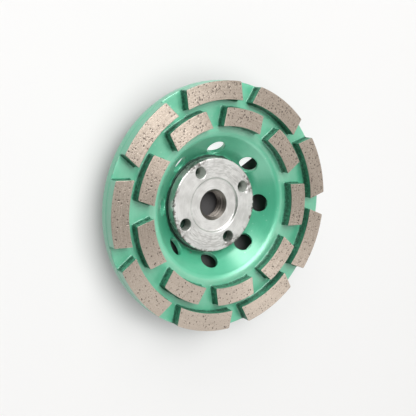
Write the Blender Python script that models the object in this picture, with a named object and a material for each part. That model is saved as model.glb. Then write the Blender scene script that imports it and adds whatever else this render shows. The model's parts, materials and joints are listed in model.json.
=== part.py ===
"""Double-row diamond cup grinding wheel, 115 mm, with the pin-spanner nut that clamps it.

The wheel lies on the back of its hub with the working face up, as it rests on a bench.
Z is the arbor axis and the origin is the centre of the hub's back face. Metres throughout.

Pieces: one steel cup body, nine outer and nine inner diamond segments, one clamping nut.
"""
import math

import bmesh
import bpy
from mathutils import Matrix, Vector

# Wheel and segment rows
WHEEL_RADIUS = 0.0575
SEGMENTS_PER_ROW = 9
SEGMENT_EDGE_INSET = 0.00015
SEGMENT_RADIAL_WIDTH = 0.0082
SEGMENT_HEIGHT = 0.0046
SEGMENT_SEAT_GAP = 0.0003
OUTER_SEGMENT_LENGTH = 0.0285
INNER_SEGMENT_LENGTH = 0.0203
ROW_CHANNEL = 0.0036
LAND_WIDTH = 0.0038
FIRST_SEGMENT_BEARING = math.radians(90.0)

# Cup body section
HUB_THICKNESS = 0.0040
RIM_FACE_HEIGHT = 0.0151
RIM_THICKNESS = 0.0056
WALL_THICKNESS = 0.0022
ARBOR_BORE_RADIUS = 0.011115
BORE_CHAMFER = 0.0005
RIM_FACE_EDGE_ROUND = 0.0005
RIM_BACK_EDGE_ROUND = 0.0018
LAND_EDGE_ROUND = 0.0025
FLOOR_CORNER_FILLET = 0.0018
BACK_CORNER_FILLET = 0.0030
HUB_BACK_EDGE_ROUND = 0.0020

# Cooling holes, drilled square to the conical wall
COOLING_HOLES = 8
COOLING_HOLE_RADIUS = 0.0043
COOLING_HOLE_FLOOR_MARGIN = 0.00045
COOLING_HOLE_BEARING = math.radians(19.0)

# Clamping nut
NUT_FLANGE_RADIUS = 0.0222
NUT_FLANGE_THICKNESS = 0.0053
NUT_SEAT_GAP = 0.0003
NUT_FLOOR_CLEARANCE = 0.0012
NUT_FRONT_EDGE_CHAMFER = 0.0005
NUT_BACK_EDGE_CHAMFER = 0.0004
NUT_FACE_RECESS_DEPTH = 0.0012
NUT_FACE_RECESS_SLOPE_RUN = 0.0010
RECESS_TO_PIN_HOLE = 0.0017
NUT_SPIGOT_CLEARANCE = 0.0003
NUT_SPIGOT_SETBACK = 0.0008
NUT_SPIGOT_CHAMFER = 0.0005
THREAD_MINOR_RADIUS = 0.00592
THREAD_MOUTH_RADIUS = 0.00745
THREAD_TAIL_RADIUS = 0.0072
PIN_HOLES = 4
PIN_HOLE_RADIUS = 0.0028
PIN_CIRCLE_TO_FLANGE_EDGE = 0.0047
PIN_HOLE_BEARING = math.radians(48.4)

# Fineness of the curves
BODY_STEPS = 96
NUT_STEPS = 64
SEGMENT_ARC_STEPS = 10
EDGE_ROUND_STEPS = 2
FILLET_STEPS = 4
CHAMFER_STEPS = 1
COOLING_HOLE_SIDES = 24
PIN_HOLE_SIDES = 20
CUTTER_OVERRUN = 0.0030
MERGE_DISTANCE = 0.000001
LONGEST_ROUNDING_SHARE = 0.45

# Sizes that follow from the ones above
OUTER_ROW_OUTER_RADIUS = WHEEL_RADIUS - SEGMENT_EDGE_INSET
OUTER_ROW_INNER_RADIUS = OUTER_ROW_OUTER_RADIUS - SEGMENT_RADIAL_WIDTH
INNER_ROW_OUTER_RADIUS = OUTER_ROW_INNER_RADIUS - ROW_CHANNEL
INNER_ROW_INNER_RADIUS = INNER_ROW_OUTER_RADIUS - SEGMENT_RADIAL_WIDTH
SEGMENT_PITCH = math.tau / SEGMENTS_PER_ROW
SEGMENT_BASE_HEIGHT = RIM_FACE_HEIGHT + SEGMENT_SEAT_GAP

LAND_INNER_RADIUS = INNER_ROW_INNER_RADIUS - LAND_WIDTH
FLOOR_RADIUS = NUT_FLANGE_RADIUS + NUT_FLOOR_CLEARANCE
WALL_RUN = LAND_INNER_RADIUS - FLOOR_RADIUS
WALL_RISE = RIM_FACE_HEIGHT - HUB_THICKNESS
WALL_SLOPE = math.atan2(WALL_RISE, WALL_RUN)
BACK_WALL_SHIFT = WALL_THICKNESS / math.sin(WALL_SLOPE)
RIM_BACK_HEIGHT = RIM_FACE_HEIGHT - RIM_THICKNESS

NUT_BACK_HEIGHT = HUB_THICKNESS + NUT_SEAT_GAP
NUT_FACE_HEIGHT = NUT_BACK_HEIGHT + NUT_FLANGE_THICKNESS
NUT_SPIGOT_RADIUS = ARBOR_BORE_RADIUS - NUT_SPIGOT_CLEARANCE
PIN_CIRCLE_RADIUS = NUT_FLANGE_RADIUS - PIN_CIRCLE_TO_FLANGE_EDGE
NUT_FACE_RECESS_RADIUS = PIN_CIRCLE_RADIUS - PIN_HOLE_RADIUS - RECESS_TO_PIN_HOLE


def clear_scene():
    """Remove whatever the open file holds, so that only the wheel is left."""
    for thing in list(bpy.data.objects):
        bpy.data.objects.remove(thing, do_unlink=True)


def make_material(name, colour, roughness, metallic):
    """A plain Principled material for one kind of piece."""
    material = bpy.data.materials.new(name)
    material.use_nodes = True
    shader = material.node_tree.nodes["Principled BSDF"]
    shader.inputs["Base Color"].default_value = (*colour, 1.0)
    shader.inputs["Roughness"].default_value = roughness
    shader.inputs["Metallic"].default_value = metallic
    material.diffuse_color = (*colour, 1.0)
    return material


def add_object(name, mesh, material=None):
    """Put a mesh in the scene under a name, with its material."""
    thing = bpy.data.objects.new(name, mesh)
    bpy.context.scene.collection.objects.link(thing)
    if material is not None:
        mesh.materials.clear()
        mesh.materials.append(material)
    return thing


def round_corner(before, corner, after, radius, steps):
    """Points of the arc that rounds one corner of a section, in order."""
    to_before = before - corner
    to_after = after - corner
    half_angle = to_before.angle(to_after) / 2.0
    longest = LONGEST_ROUNDING_SHARE * min(to_before.length, to_after.length)
    tangent = min(radius / math.tan(half_angle), longest)
    radius = tangent * math.tan(half_angle)
    first = corner + to_before.normalized() * tangent
    last = corner + to_after.normalized() * tangent
    bisector = (to_before.normalized() + to_after.normalized()).normalized()
    centre = corner + bisector * (radius / math.sin(half_angle))
    arm = first - centre
    sweep = arm.angle_signed(last - centre)
    points = []
    for step in range(steps + 1):
        turn = Matrix.Rotation(-sweep * step / steps, 2)
        points.append(centre + turn @ arm)
    return points


def section_points(corners):
    """Corners given as (radius, height, rounding, steps) become a smooth closed section."""
    points = []
    count = len(corners)
    for index, (radius, height, rounding, steps) in enumerate(corners):
        corner = Vector((radius, height))
        if rounding <= 0.0:
            points.append(corner)
            continue
        before = Vector(corners[index - 1][:2])
        after = Vector(corners[(index + 1) % count][:2])
        points.extend(round_corner(before, corner, after, rounding, steps))
    return points


def sharp_corner(radius, height):
    """A corner that stays sharp."""
    return (radius, height, 0.0, 0)


def chamfer_corner(radius, height, size):
    """A corner that is cut across by one flat: a rounding of a single step."""
    return (radius, height, size, CHAMFER_STEPS)


def turn_section(name, corners, steps, material):
    """Turn a closed section once round Z with a Screw modifier."""
    mesh = bpy.data.meshes.new(name)
    shell = bmesh.new()
    ring = [shell.verts.new((point.x, 0.0, point.y)) for point in section_points(corners)]
    for first, second in zip(ring, ring[1:] + ring[:1]):
        shell.edges.new((first, second))
    shell.to_mesh(mesh)
    shell.free()
    turned = add_object(name, mesh, material)
    screw = turned.modifiers.new("turning", "SCREW")
    screw.axis = "Z"
    screw.angle = math.tau
    screw.steps = steps
    screw.render_steps = steps
    screw.use_merge_vertices = True
    screw.merge_threshold = MERGE_DISTANCE
    screw.use_smooth_shade = True
    return turned


def drill_cutter(name, centre_lines, radius, sides):
    """One cutter made of drills, each given as (start point, unit direction, length)."""
    mesh = bpy.data.meshes.new(name)
    drills = bmesh.new()
    for start, direction, length in centre_lines:
        turn = Vector((0.0, 0.0, 1.0)).rotation_difference(direction).to_matrix().to_4x4()
        place = Matrix.Translation(start + direction * length / 2.0) @ turn
        bmesh.ops.create_cone(
            drills, cap_ends=True, segments=sides,
            radius1=radius, radius2=radius, depth=length, matrix=place,
        )
    drills.to_mesh(mesh)
    drills.free()
    cutter = add_object(name, mesh)
    cutter.hide_render = True
    cutter.display_type = "WIRE"
    return cutter


def cut_away(target, cutter):
    """Take the cutter's shape out of the target."""
    cut = target.modifiers.new("drilling", "BOOLEAN")
    cut.operation = "DIFFERENCE"
    cut.solver = "EXACT"
    cut.object = cutter


def make_cup_body(material):
    """The dished steel body: rim, conical wall and bored hub in one forging."""
    back_shift = Vector((BACK_WALL_SHIFT, 0.0))
    floor_corner = Vector((FLOOR_RADIUS, HUB_THICKNESS))
    along_wall = Vector((math.cos(WALL_SLOPE), math.sin(WALL_SLOPE)))

    def back_wall_radius(height):
        reach = (height - HUB_THICKNESS) / along_wall.y
        return (floor_corner + along_wall * reach + back_shift).x

    section = [
        (WHEEL_RADIUS, RIM_FACE_HEIGHT, RIM_FACE_EDGE_ROUND, EDGE_ROUND_STEPS),
        (WHEEL_RADIUS, RIM_BACK_HEIGHT, RIM_BACK_EDGE_ROUND, FILLET_STEPS),
        (back_wall_radius(RIM_BACK_HEIGHT), RIM_BACK_HEIGHT, BACK_CORNER_FILLET, FILLET_STEPS),
        (back_wall_radius(0.0), 0.0, HUB_BACK_EDGE_ROUND, FILLET_STEPS),
        chamfer_corner(ARBOR_BORE_RADIUS, 0.0, BORE_CHAMFER),
        chamfer_corner(ARBOR_BORE_RADIUS, HUB_THICKNESS, BORE_CHAMFER),
        (FLOOR_RADIUS, HUB_THICKNESS, FLOOR_CORNER_FILLET, FILLET_STEPS),
        (LAND_INNER_RADIUS, RIM_FACE_HEIGHT, LAND_EDGE_ROUND, FILLET_STEPS),
    ]
    body = turn_section("cup_body", section, BODY_STEPS, material)

    # Each drill starts inside the cup and leaves behind the wall
    reach = COOLING_HOLE_RADIUS + COOLING_HOLE_FLOOR_MARGIN
    on_wall = floor_corner + along_wall * reach
    into_wall = Vector((along_wall.y, -along_wall.x))
    drills = []
    for index in range(COOLING_HOLES):
        bearing = COOLING_HOLE_BEARING + index * math.tau / COOLING_HOLES
        spin = Matrix.Rotation(bearing, 3, "Z")
        start = on_wall - into_wall * CUTTER_OVERRUN
        direction = spin @ Vector((into_wall.x, 0.0, into_wall.y))
        length = WALL_THICKNESS + 2.0 * CUTTER_OVERRUN
        drills.append((spin @ Vector((start.x, 0.0, start.y)), direction, length))
    cutter = drill_cutter("cooling_hole_drills", drills, COOLING_HOLE_RADIUS, COOLING_HOLE_SIDES)
    cut_away(body, cutter)
    return body


def segment_mesh(name, outer_radius, inner_radius, length):
    """A diamond segment: arcs inside and out, ends parallel as the press leaves them."""
    half = length / 2.0

    def arc(radius, start_side):
        reach = math.asin(half / radius)
        bearings = [start_side * reach * (1.0 - 2.0 * step / SEGMENT_ARC_STEPS)
                    for step in range(SEGMENT_ARC_STEPS + 1)]
        return [Vector((radius * math.cos(b), radius * math.sin(b), 0.0)) for b in bearings]

    outline = arc(outer_radius, -1.0) + arc(inner_radius, 1.0)
    mesh = bpy.data.meshes.new(name)
    block = bmesh.new()
    base = block.faces.new([block.verts.new(point) for point in outline])
    base.normal_flip()
    grown = bmesh.ops.extrude_face_region(block, geom=[base], use_keep_orig=True)
    tops = [item for item in grown["geom"] if isinstance(item, bmesh.types.BMVert)]
    bmesh.ops.translate(block, verts=tops, vec=(0.0, 0.0, SEGMENT_HEIGHT))
    bmesh.ops.recalc_face_normals(block, faces=block.faces)
    block.to_mesh(mesh)
    block.free()
    return mesh


def make_segment_row(row, mesh, first_bearing, material):
    """Nine copies of one segment round the rim, each a piece of its own."""
    for index in range(SEGMENTS_PER_ROW):
        segment = add_object(f"{row}_segment_{index + 1:02d}", mesh, material)
        segment.location = (0.0, 0.0, SEGMENT_BASE_HEIGHT)
        segment.rotation_euler = (0.0, 0.0, first_bearing + index * SEGMENT_PITCH)


def make_segments(material):
    """Two rows, the inner one turned half a pitch so that it covers the outer gaps."""
    outer = segment_mesh(
        "outer_segment", OUTER_ROW_OUTER_RADIUS, OUTER_ROW_INNER_RADIUS, OUTER_SEGMENT_LENGTH)
    inner = segment_mesh(
        "inner_segment", INNER_ROW_OUTER_RADIUS, INNER_ROW_INNER_RADIUS, INNER_SEGMENT_LENGTH)
    make_segment_row("outer", outer, FIRST_SEGMENT_BEARING, material)
    make_segment_row("inner", inner, FIRST_SEGMENT_BEARING + SEGMENT_PITCH / 2.0, material)


def make_flange_nut(material):
    """The round nut: recessed face, four pin holes, threaded bore and locating spigot."""
    recess_height = NUT_FACE_HEIGHT - NUT_FACE_RECESS_DEPTH
    mouth_depth = THREAD_MOUTH_RADIUS - THREAD_MINOR_RADIUS
    tail_depth = THREAD_TAIL_RADIUS - THREAD_MINOR_RADIUS
    section = [
        chamfer_corner(NUT_FLANGE_RADIUS, NUT_FACE_HEIGHT, NUT_FRONT_EDGE_CHAMFER),
        chamfer_corner(NUT_FLANGE_RADIUS, NUT_BACK_HEIGHT, NUT_BACK_EDGE_CHAMFER),
        sharp_corner(NUT_SPIGOT_RADIUS, NUT_BACK_HEIGHT),
        chamfer_corner(NUT_SPIGOT_RADIUS, NUT_SPIGOT_SETBACK, NUT_SPIGOT_CHAMFER),
        sharp_corner(THREAD_TAIL_RADIUS, NUT_SPIGOT_SETBACK),
        sharp_corner(THREAD_MINOR_RADIUS, NUT_SPIGOT_SETBACK + tail_depth),
        sharp_corner(THREAD_MINOR_RADIUS, recess_height - mouth_depth),
        sharp_corner(THREAD_MOUTH_RADIUS, recess_height),
        sharp_corner(NUT_FACE_RECESS_RADIUS - NUT_FACE_RECESS_SLOPE_RUN, recess_height),
        sharp_corner(NUT_FACE_RECESS_RADIUS, NUT_FACE_HEIGHT),
    ]
    nut = turn_section("flange_nut", section, NUT_STEPS, material)

    down = Vector((0.0, 0.0, -1.0))
    drills = []
    for index in range(PIN_HOLES):
        bearing = PIN_HOLE_BEARING + index * math.tau / PIN_HOLES
        start = Vector((
            PIN_CIRCLE_RADIUS * math.cos(bearing),
            PIN_CIRCLE_RADIUS * math.sin(bearing),
            NUT_FACE_HEIGHT + CUTTER_OVERRUN,
        ))
        drills.append((start, down, NUT_FLANGE_THICKNESS + 2.0 * CUTTER_OVERRUN))
    cutter = drill_cutter("pin_hole_drills", drills, PIN_HOLE_RADIUS, PIN_HOLE_SIDES)
    cut_away(nut, cutter)
    return nut


def build():
    """Make every piece of the wheel."""
    clear_scene()
    green_enamel = make_material(
        "green_enamel", colour=(0.13, 0.55, 0.32), roughness=0.35, metallic=0.0)
    diamond_bond = make_material(
        "diamond_bond", colour=(0.47, 0.39, 0.32), roughness=0.75, metallic=0.2)
    zinc_plate = make_material(
        "zinc_plate", colour=(0.62, 0.62, 0.61), roughness=0.42, metallic=1.0)
    make_cup_body(green_enamel)
    make_segments(diamond_bond)
    make_flange_nut(zinc_plate)
    bpy.context.view_layer.update()


build()
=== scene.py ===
# %% [markdown]
# # A double-row diamond cup grinding wheel
#
# This lesson dresses a finished CAD model of a cup wheel: a dished steel body in green enamel, two
# rows of sintered diamond segments brazed to its rim, and the round nut that clamps it.
# The CAD solids give every size and place. Here each piece is made again with the fine surface that
# the solids leave out, and each finish is built from procedural nodes.

# %% Load the fixed frame
import json
import math

import bmesh
import bpy
import numpy as np
from mathutils import Matrix, Vector, noise

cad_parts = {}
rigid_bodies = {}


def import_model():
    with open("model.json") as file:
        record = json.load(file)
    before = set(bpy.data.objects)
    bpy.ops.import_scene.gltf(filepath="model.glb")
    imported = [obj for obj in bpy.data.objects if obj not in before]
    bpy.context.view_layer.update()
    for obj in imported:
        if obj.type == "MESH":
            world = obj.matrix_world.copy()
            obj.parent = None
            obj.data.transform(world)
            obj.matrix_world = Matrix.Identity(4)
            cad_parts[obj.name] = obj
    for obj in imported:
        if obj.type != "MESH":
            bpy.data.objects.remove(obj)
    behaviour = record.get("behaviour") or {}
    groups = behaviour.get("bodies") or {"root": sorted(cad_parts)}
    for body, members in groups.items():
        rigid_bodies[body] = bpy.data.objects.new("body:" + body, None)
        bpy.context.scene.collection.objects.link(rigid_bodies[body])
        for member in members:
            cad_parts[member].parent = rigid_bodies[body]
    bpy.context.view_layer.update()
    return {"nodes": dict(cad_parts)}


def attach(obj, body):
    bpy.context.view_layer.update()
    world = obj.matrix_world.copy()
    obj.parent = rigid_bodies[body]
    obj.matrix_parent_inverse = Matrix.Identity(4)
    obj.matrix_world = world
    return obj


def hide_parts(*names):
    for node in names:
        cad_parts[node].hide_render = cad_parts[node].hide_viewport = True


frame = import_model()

MM = 0.001
print("CAD nodes:", len(frame["nodes"]))

# %% [markdown]
# ## Camera
#
# The view is the one a visitor at the bench would have: from the side and well above the wheel, with
# a long lens so that the rim stays nearly round. The camera is turned about its own axis, which a
# plain floor doesn't show. A location and three angles are enough, so no tracking constraint is used.

# %% Camera
CAMERA_PLACE = (0.01287, -0.18533, 0.28324)
CAMERA_TURN = (-10.744, -32.139, 112.931)
CAMERA_LENS = 61.345

camera_data = bpy.data.cameras.new("bench_camera")
camera_data.lens = CAMERA_LENS
camera_data.sensor_width = 36.0
camera_data.clip_start = 0.01
camera = bpy.data.objects.new("bench_camera", camera_data)
camera.location = CAMERA_PLACE
camera.rotation_euler = [math.radians(angle) for angle in CAMERA_TURN]
bpy.context.scene.collection.objects.link(camera)
bpy.context.scene.camera = camera
print("camera lens:", CAMERA_LENS, "mm")

# %% [markdown]
# ## Sizes
#
# These are the wheel's own sizes in millimetres, the same as in the CAD model. Working in
# millimetres keeps the numbers readable, and the factor MM turns them into Blender's metres.

# %% Sizes of the wheel
WHEEL_RADIUS = 57.5
RIM_FACE = 15.1
RIM_BACK = 9.5
SEGMENT_TOP = 20.0
HUB_THICKNESS = 4.0
WALL_THICKNESS = 2.2
ARBOR_RADIUS = 11.115
FLOOR_RADIUS = 23.4
LAND_INNER_RADIUS = 33.55

OUTER_ROW = (57.35, 49.15, 28.5)
INNER_ROW = (45.55, 37.35, 20.3)
SEGMENTS_PER_ROW = 9
FIRST_SEGMENT_BEARING = math.radians(90.0)

COOLING_HOLES = 8
COOLING_HOLE_RADIUS = 4.3
COOLING_HOLE_ALONG_WALL = 4.75
COOLING_HOLE_BEARING = math.radians(19.0)

NUT_RADIUS = 22.2
NUT_FACE = 9.6
NUT_BACK = 4.3
NUT_RECESS_RADIUS = 13.0
NUT_RECESS_SLOPE_RUN = 1.0
NUT_RECESS_FLOOR = 8.4
NUT_SPIGOT_RADIUS = 10.815
NUT_SPIGOT_END = 0.8
PIN_HOLE_RADIUS = 2.8
PIN_CIRCLE_RADIUS = 17.5
PIN_HOLE_BEARING = math.radians(48.4)

wall_slope = math.atan2(RIM_FACE - HUB_THICKNESS, LAND_INNER_RADIUS - FLOOR_RADIUS)
print("slope of the conical wall:", round(math.degrees(wall_slope), 1), "degrees")

# %% [markdown]
# ## Floor and light
#
# A wheel like this is photographed on a pale sweep. A soft lamp, low on the side that is uppermost in
# the picture, draws a bright streak down the cone. A higher one on the same side makes the turned
# metal gleam, and a weak one opposite opens up the shadows. One side of the table is kept dark,
# because metal and gloss paint only show their shape when they have something dark to mirror. Nothing
# hangs overhead either, as the rounded land would mirror it. The floor is a pale sheet that keeps the
# wheel's shadow, with some painted light and painted shade near the wheel. The world is white to the
# camera. What metal and gloss paint mirror of it runs from a bright side, a little above white, to the
# dark side. The plain light it gives is a low fill, so that the channels between the segments go dark.

# %% Floor
FLOOR_HALF_WIDTH = 3.0


def link_object(name, mesh):
    """Put a mesh in the scene as an object."""
    thing = bpy.data.objects.new(name, mesh)
    bpy.context.scene.collection.objects.link(thing)
    return thing


floor_mesh = bpy.data.meshes.new("studio_floor")
corner = FLOOR_HALF_WIDTH
floor_mesh.from_pydata(
    [(-corner, -corner, 0.0), (corner, -corner, 0.0), (corner, corner, 0.0), (-corner, corner, 0.0)],
    [], [(0, 1, 2, 3)])
studio_floor = link_object("studio_floor", floor_mesh)
print("floor:", 2 * FLOOR_HALF_WIDTH, "m wide")

# %% [markdown]
# ## Nodes as formulas
#
# A finish is easier to read as a formula than as a list of nodes and links. So a small class stands
# for one node's output, and plain arithmetic on it adds Math nodes to the same tree. Every other
# helper adds one node beside the signals that feed it and returns what the next one needs.

# %% Shader helpers
VALUE = "NodeSocketFloat"
COLOUR = "NodeSocketColor"
VECTOR = "NodeSocketVector"


class Signal:
    """One node's output. Arithmetic on it adds Math nodes to its tree."""

    def __init__(self, tree, socket):
        self.tree = tree
        self.socket = socket

    def __add__(self, other):
        return calc("ADD", self, other)

    def __sub__(self, other):
        return calc("SUBTRACT", self, other)

    def __rsub__(self, other):
        return calc("SUBTRACT", other, self)

    def __mul__(self, other):
        return calc("MULTIPLY", self, other)

    def __truediv__(self, other):
        return calc("DIVIDE", self, other)

    def __abs__(self):
        return calc("ABSOLUTE", self)


def feed(socket, source):
    """Link a signal to the input, or set the input to a plain value."""
    if isinstance(source, Signal):
        source.tree.links.new(source.socket, socket)
    else:
        socket.default_value = source


def signals(tree, node):
    """A node's outputs by name."""
    return {socket.name: Signal(tree, socket) for socket in node.outputs if socket.enabled}


def add_node(kind, inputs, tree=None, **settings):
    """One node, in the tree of the signals that feed it unless a tree is given."""
    if tree is None:
        tree = next(value.tree for value in inputs.values() if isinstance(value, Signal))
    node = tree.nodes.new(kind)
    for name, value in settings.items():
        setattr(node, name, value)
    for name, value in inputs.items():
        feed(node.inputs[name], value)
    return signals(tree, node)


def calc(operation, first, second=0.0, **settings):
    """One Math node."""
    return add_node("ShaderNodeMath", {0: first, 1: second}, operation=operation, **settings)["Value"]


def strongest(first, *others):
    """The largest of several signals."""
    for other in others:
        first = calc("MAXIMUM", first, other)
    return first


def mix_colour(share, first, second):
    """One Mix node for colours."""
    return add_node("ShaderNodeMix", {"Factor": share, "A": first, "B": second}, data_type="RGBA")["Result"]


def mix_value(share, first, second):
    """One Mix node for plain values."""
    return add_node("ShaderNodeMix", {"Factor": share, "A": first, "B": second}, data_type="FLOAT")["Result"]


def step_between(value, low, high, to_low=0.0, to_high=1.0):
    """A smooth step from one level to another as the value passes from low to high."""
    span = {"Value": value, "From Min": low, "From Max": high, "To Min": to_low, "To Max": to_high}
    return add_node("ShaderNodeMapRange", span, interpolation_type="SMOOTHSTEP")["Result"]


def cloud(position, scale, detail=2.0, roughness=0.5):
    """One Noise texture, as a value near 0.5."""
    look = {"Vector": position, "Scale": scale, "Detail": detail, "Roughness": roughness}
    return add_node("ShaderNodeTexNoise", look)["Fac"]


def vector_math(operation, *vectors, **named):
    """One Vector Math node, with its outputs by name."""
    return add_node("ShaderNodeVectorMath", {**dict(enumerate(vectors)), **named}, operation=operation)


def toward(bearing):
    """The level vector that points along a bearing."""
    return Vector((math.cos(bearing), math.sin(bearing), 0.0))


def split(vector):
    """The three parts of a vector."""
    return add_node("ShaderNodeSeparateXYZ", {"Vector": vector}).values()


def join(x, y, z=0.0):
    """A vector from its three parts."""
    return add_node("ShaderNodeCombineXYZ", {"X": x, "Y": y, "Z": z})["Vector"]


def object_coordinates(tree):
    """The place on the object, in metres."""
    return add_node("ShaderNodeTexCoord", {}, tree)["Object"]


def mesh_value(tree, name):
    """A value that the mesh carries at its points."""
    return add_node("ShaderNodeAttribute", {}, tree, attribute_name=name)["Fac"]


def seen_directly(tree):
    """One where the camera, a reflection or glass sees the surface, and nought for light that bounces."""
    path = add_node("ShaderNodeLightPath", {}, tree)
    mirrored = path["Is Camera Ray"] + path["Is Glossy Ray"]
    return calc("ADD", mirrored, path["Is Transmission Ray"], use_clamp=True)


def bump(height, strength=1.0):
    """A Bump node that reads heights in millimetres."""
    relief = {"Strength": strength, "Distance": MM, "Height": height}
    return add_node("ShaderNodeBump", relief)["Normal"]


def new_group(name, inputs, outputs):
    """An empty shader node group, with the signals that it is given and the sockets of its results."""
    tree = bpy.data.node_groups.new(name, "ShaderNodeTree")
    for socket_name, kind, value in inputs:
        socket = tree.interface.new_socket(name=socket_name, in_out="INPUT", socket_type=kind)
        socket.default_value = value
    for socket_name, kind in outputs:
        tree.interface.new_socket(name=socket_name, in_out="OUTPUT", socket_type=kind)
    given = signals(tree, tree.nodes.new("NodeGroupInput"))
    return tree, given, tree.nodes.new("NodeGroupOutput").inputs


def use_group(tree, group, **values):
    """Place a group in a tree. Underscores in a keyword stand for spaces in the socket's name."""
    node = tree.nodes.new("ShaderNodeGroup")
    node.node_tree = group
    for name, value in values.items():
        feed(node.inputs[name.replace("_", " ").capitalize()], value)
    return signals(tree, node)


def new_material(name):
    """A material with a bare Principled shader."""
    material = bpy.data.materials.new(name)
    material.use_nodes = True
    tree = material.node_tree
    return material, tree, tree.nodes["Principled BSDF"].inputs


print("shader helpers ready")

# %% Floor finish
# The camera and the metal see pale paper. Light that bounces from it onto the wheel is weaker, as the
# paper's glow is seen only directly and lights nothing, so the hollows under the wheel stay dark. That
# glow is painted light: it starts a little way out from the wheel, which leaves a painted darker halo
# round it, and far off it glows until it meets the white world with no edge. Under the wheel a round
# pad under the hub and half a disc to one side are painted dark grey as shade, and the rest of the
# paper there has a painted glow. So some cooling holes show painted shade and the others painted light.
FLOOR_SEEN = (0.380, 0.378, 0.374, 1.0)
FLOOR_BOUNCE = (0.40, 0.40, 0.40, 1.0)
NO_GLOW = (0.0, 0.0, 0.0, 1.0)
GLOW_COLOUR = (1.0, 0.996, 0.988, 1.0)
PAINTED_SHADE_FELT = (0.095, 0.092, 0.092, 1.0)
SHADE_FELT_RADIUS = 0.037
SHADE_FELT_PAD_RADIUS = 0.014
SHADE_FELT_FUZZ = 0.0005
SHADE_FELT_BEARING = math.radians(53.3)
SHADE_FELT_EDGE_FROM_AXIS = -0.0029
SHADE_FELT_EDGE_FUZZ = 0.0004
HOLE_PAINTED_LIGHT = 0.85
NEAR_PAINTED_LIGHT = 0.49
NEAR_PAINTED_LIGHT_SPAN = (0.040, 0.070)
FAR_GLOW = 0.50
FAR_GLOW_SPAN = (0.30, 2.2)

floor_paper, tree, shader = new_material("floor_paper")
coordinates = object_coordinates(tree)
paper_tone = step_between(cloud(coordinates, 9.0), 0.3, 0.7)
paper = mix_colour(paper_tone, FLOOR_SEEN, tuple(channel * 0.99 for channel in FLOOR_SEEN))
seen = seen_directly(tree)
from_axis = vector_math("LENGTH", coordinates)["Value"]
# Painted shade: a dark grey pad round the hub and half a disc beside it, seen through the holes.
along_shade_felt = vector_math("DOT_PRODUCT", coordinates, toward(SHADE_FELT_BEARING))["Value"]
half_disc = step_between(along_shade_felt, SHADE_FELT_EDGE_FROM_AXIS, SHADE_FELT_EDGE_FROM_AXIS + SHADE_FELT_EDGE_FUZZ)
pad = step_between(from_axis, SHADE_FELT_PAD_RADIUS + SHADE_FELT_FUZZ, SHADE_FELT_PAD_RADIUS)
under_wheel = step_between(from_axis, SHADE_FELT_RADIUS + SHADE_FELT_FUZZ, SHADE_FELT_RADIUS)
on_painted_shade = under_wheel * strongest(half_disc, pad)
feed(shader["Base Color"], mix_colour(on_painted_shade, mix_colour(seen, FLOOR_BOUNCE, paper), PAINTED_SHADE_FELT))
# Painted light: the paper glows, seen only directly, from a little way out from the wheel and under it.
paper_glow_and_painted_light = step_between(from_axis, *NEAR_PAINTED_LIGHT_SPAN) * NEAR_PAINTED_LIGHT
paper_glow_and_painted_light += step_between(from_axis, *FAR_GLOW_SPAN) * FAR_GLOW
paper_glow_and_painted_light += under_wheel * (1.0 - on_painted_shade) * HOLE_PAINTED_LIGHT
feed(shader["Emission Color"], mix_colour(paper_glow_and_painted_light * seen, NO_GLOW, GLOW_COLOUR))
shader["Emission Strength"].default_value = 1.0
shader["Roughness"].default_value = 0.9
shader["Specular IOR Level"].default_value = 0.1
studio_floor.data.materials.append(floor_paper)
print("floor finish:", floor_paper.name)

# %% World and lamps
WORLD_FILL = 0.15
DARK_SIDE = 0.15
BRIGHT_SIDE = 1.25
WORLD_COLOUR = (1.0, 0.995, 0.985, 1.0)
LAMP_DISTANCE = 1.5

world = bpy.data.worlds.new("studio")
world.use_nodes = True
bpy.context.scene.world = world
tree = world.node_tree
background = tree.nodes["Background"].inputs
background["Color"].default_value = WORLD_COLOUR
_, across, _ = split(add_node("ShaderNodeTexCoord", {}, tree)["Generated"])
brightness = step_between(across, -0.25, 0.85, DARK_SIDE, BRIGHT_SIDE)
camera_sees = add_node("ShaderNodeLightPath", {}, tree)["Is Camera Ray"]
strength = mix_value(seen_directly(tree), WORLD_FILL, 1.0)
feed(background["Strength"], strength * mix_value(camera_sees, brightness, 1.0))


def soft_lamp(name, bearing, elevation, width, height, power):
    """A rectangular area lamp that looks at the wheel."""
    lamp = bpy.data.lights.new(name, "AREA")
    lamp.shape = "RECTANGLE"
    lamp.size = width
    lamp.size_y = height
    lamp.energy = power
    thing = link_object(name, lamp)
    level = math.cos(math.radians(elevation))
    direction = Vector((
        level * math.cos(math.radians(bearing)),
        level * math.sin(math.radians(bearing)),
        math.sin(math.radians(elevation)),
    ))
    thing.location = direction * LAMP_DISTANCE
    thing.rotation_euler = direction.to_track_quat("Z", "Y").to_euler()


soft_lamp("far_softbox", bearing=217.0, elevation=23.0, width=1.1, height=0.60, power=10.2)
soft_lamp("high_softbox", bearing=202.0, elevation=61.0, width=1.2, height=1.0, power=25.4)
soft_lamp("near_softbox", bearing=5.0, elevation=32.0, width=1.4, height=1.0, power=6.9)
bpy.context.scene.view_settings.view_transform = "Standard"
print("world fill:", WORLD_FILL, "lamps:", len(bpy.data.lights))

# %% [markdown]
# ## Effects that several finishes share
#
# Everything on this wheel was turned, ground or sprayed round one axis. So the first group gives
# each point its place in the wheel's own terms: radius, height and direction. Two more groups make
# turning marks and specks from it, one makes wear along a turned edge, and one makes the enamel.

# %% Group: turned space
turned_space, _, result = new_group(
    "turned_space", [],
    [("Millimetres", VECTOR), ("Radius", VALUE), ("Height", VALUE), ("Direction", VECTOR)])
millimetres = vector_math("SCALE", object_coordinates(turned_space), Scale=1.0 / MM)["Vector"]
x, y, height = split(millimetres)
level = join(x, y)
feed(result["Millimetres"], millimetres)
feed(result["Radius"], vector_math("LENGTH", level)["Value"])
feed(result["Height"], height)
feed(result["Direction"], vector_math("NORMALIZE", level)["Vector"])
print("group:", turned_space.name)

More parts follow.
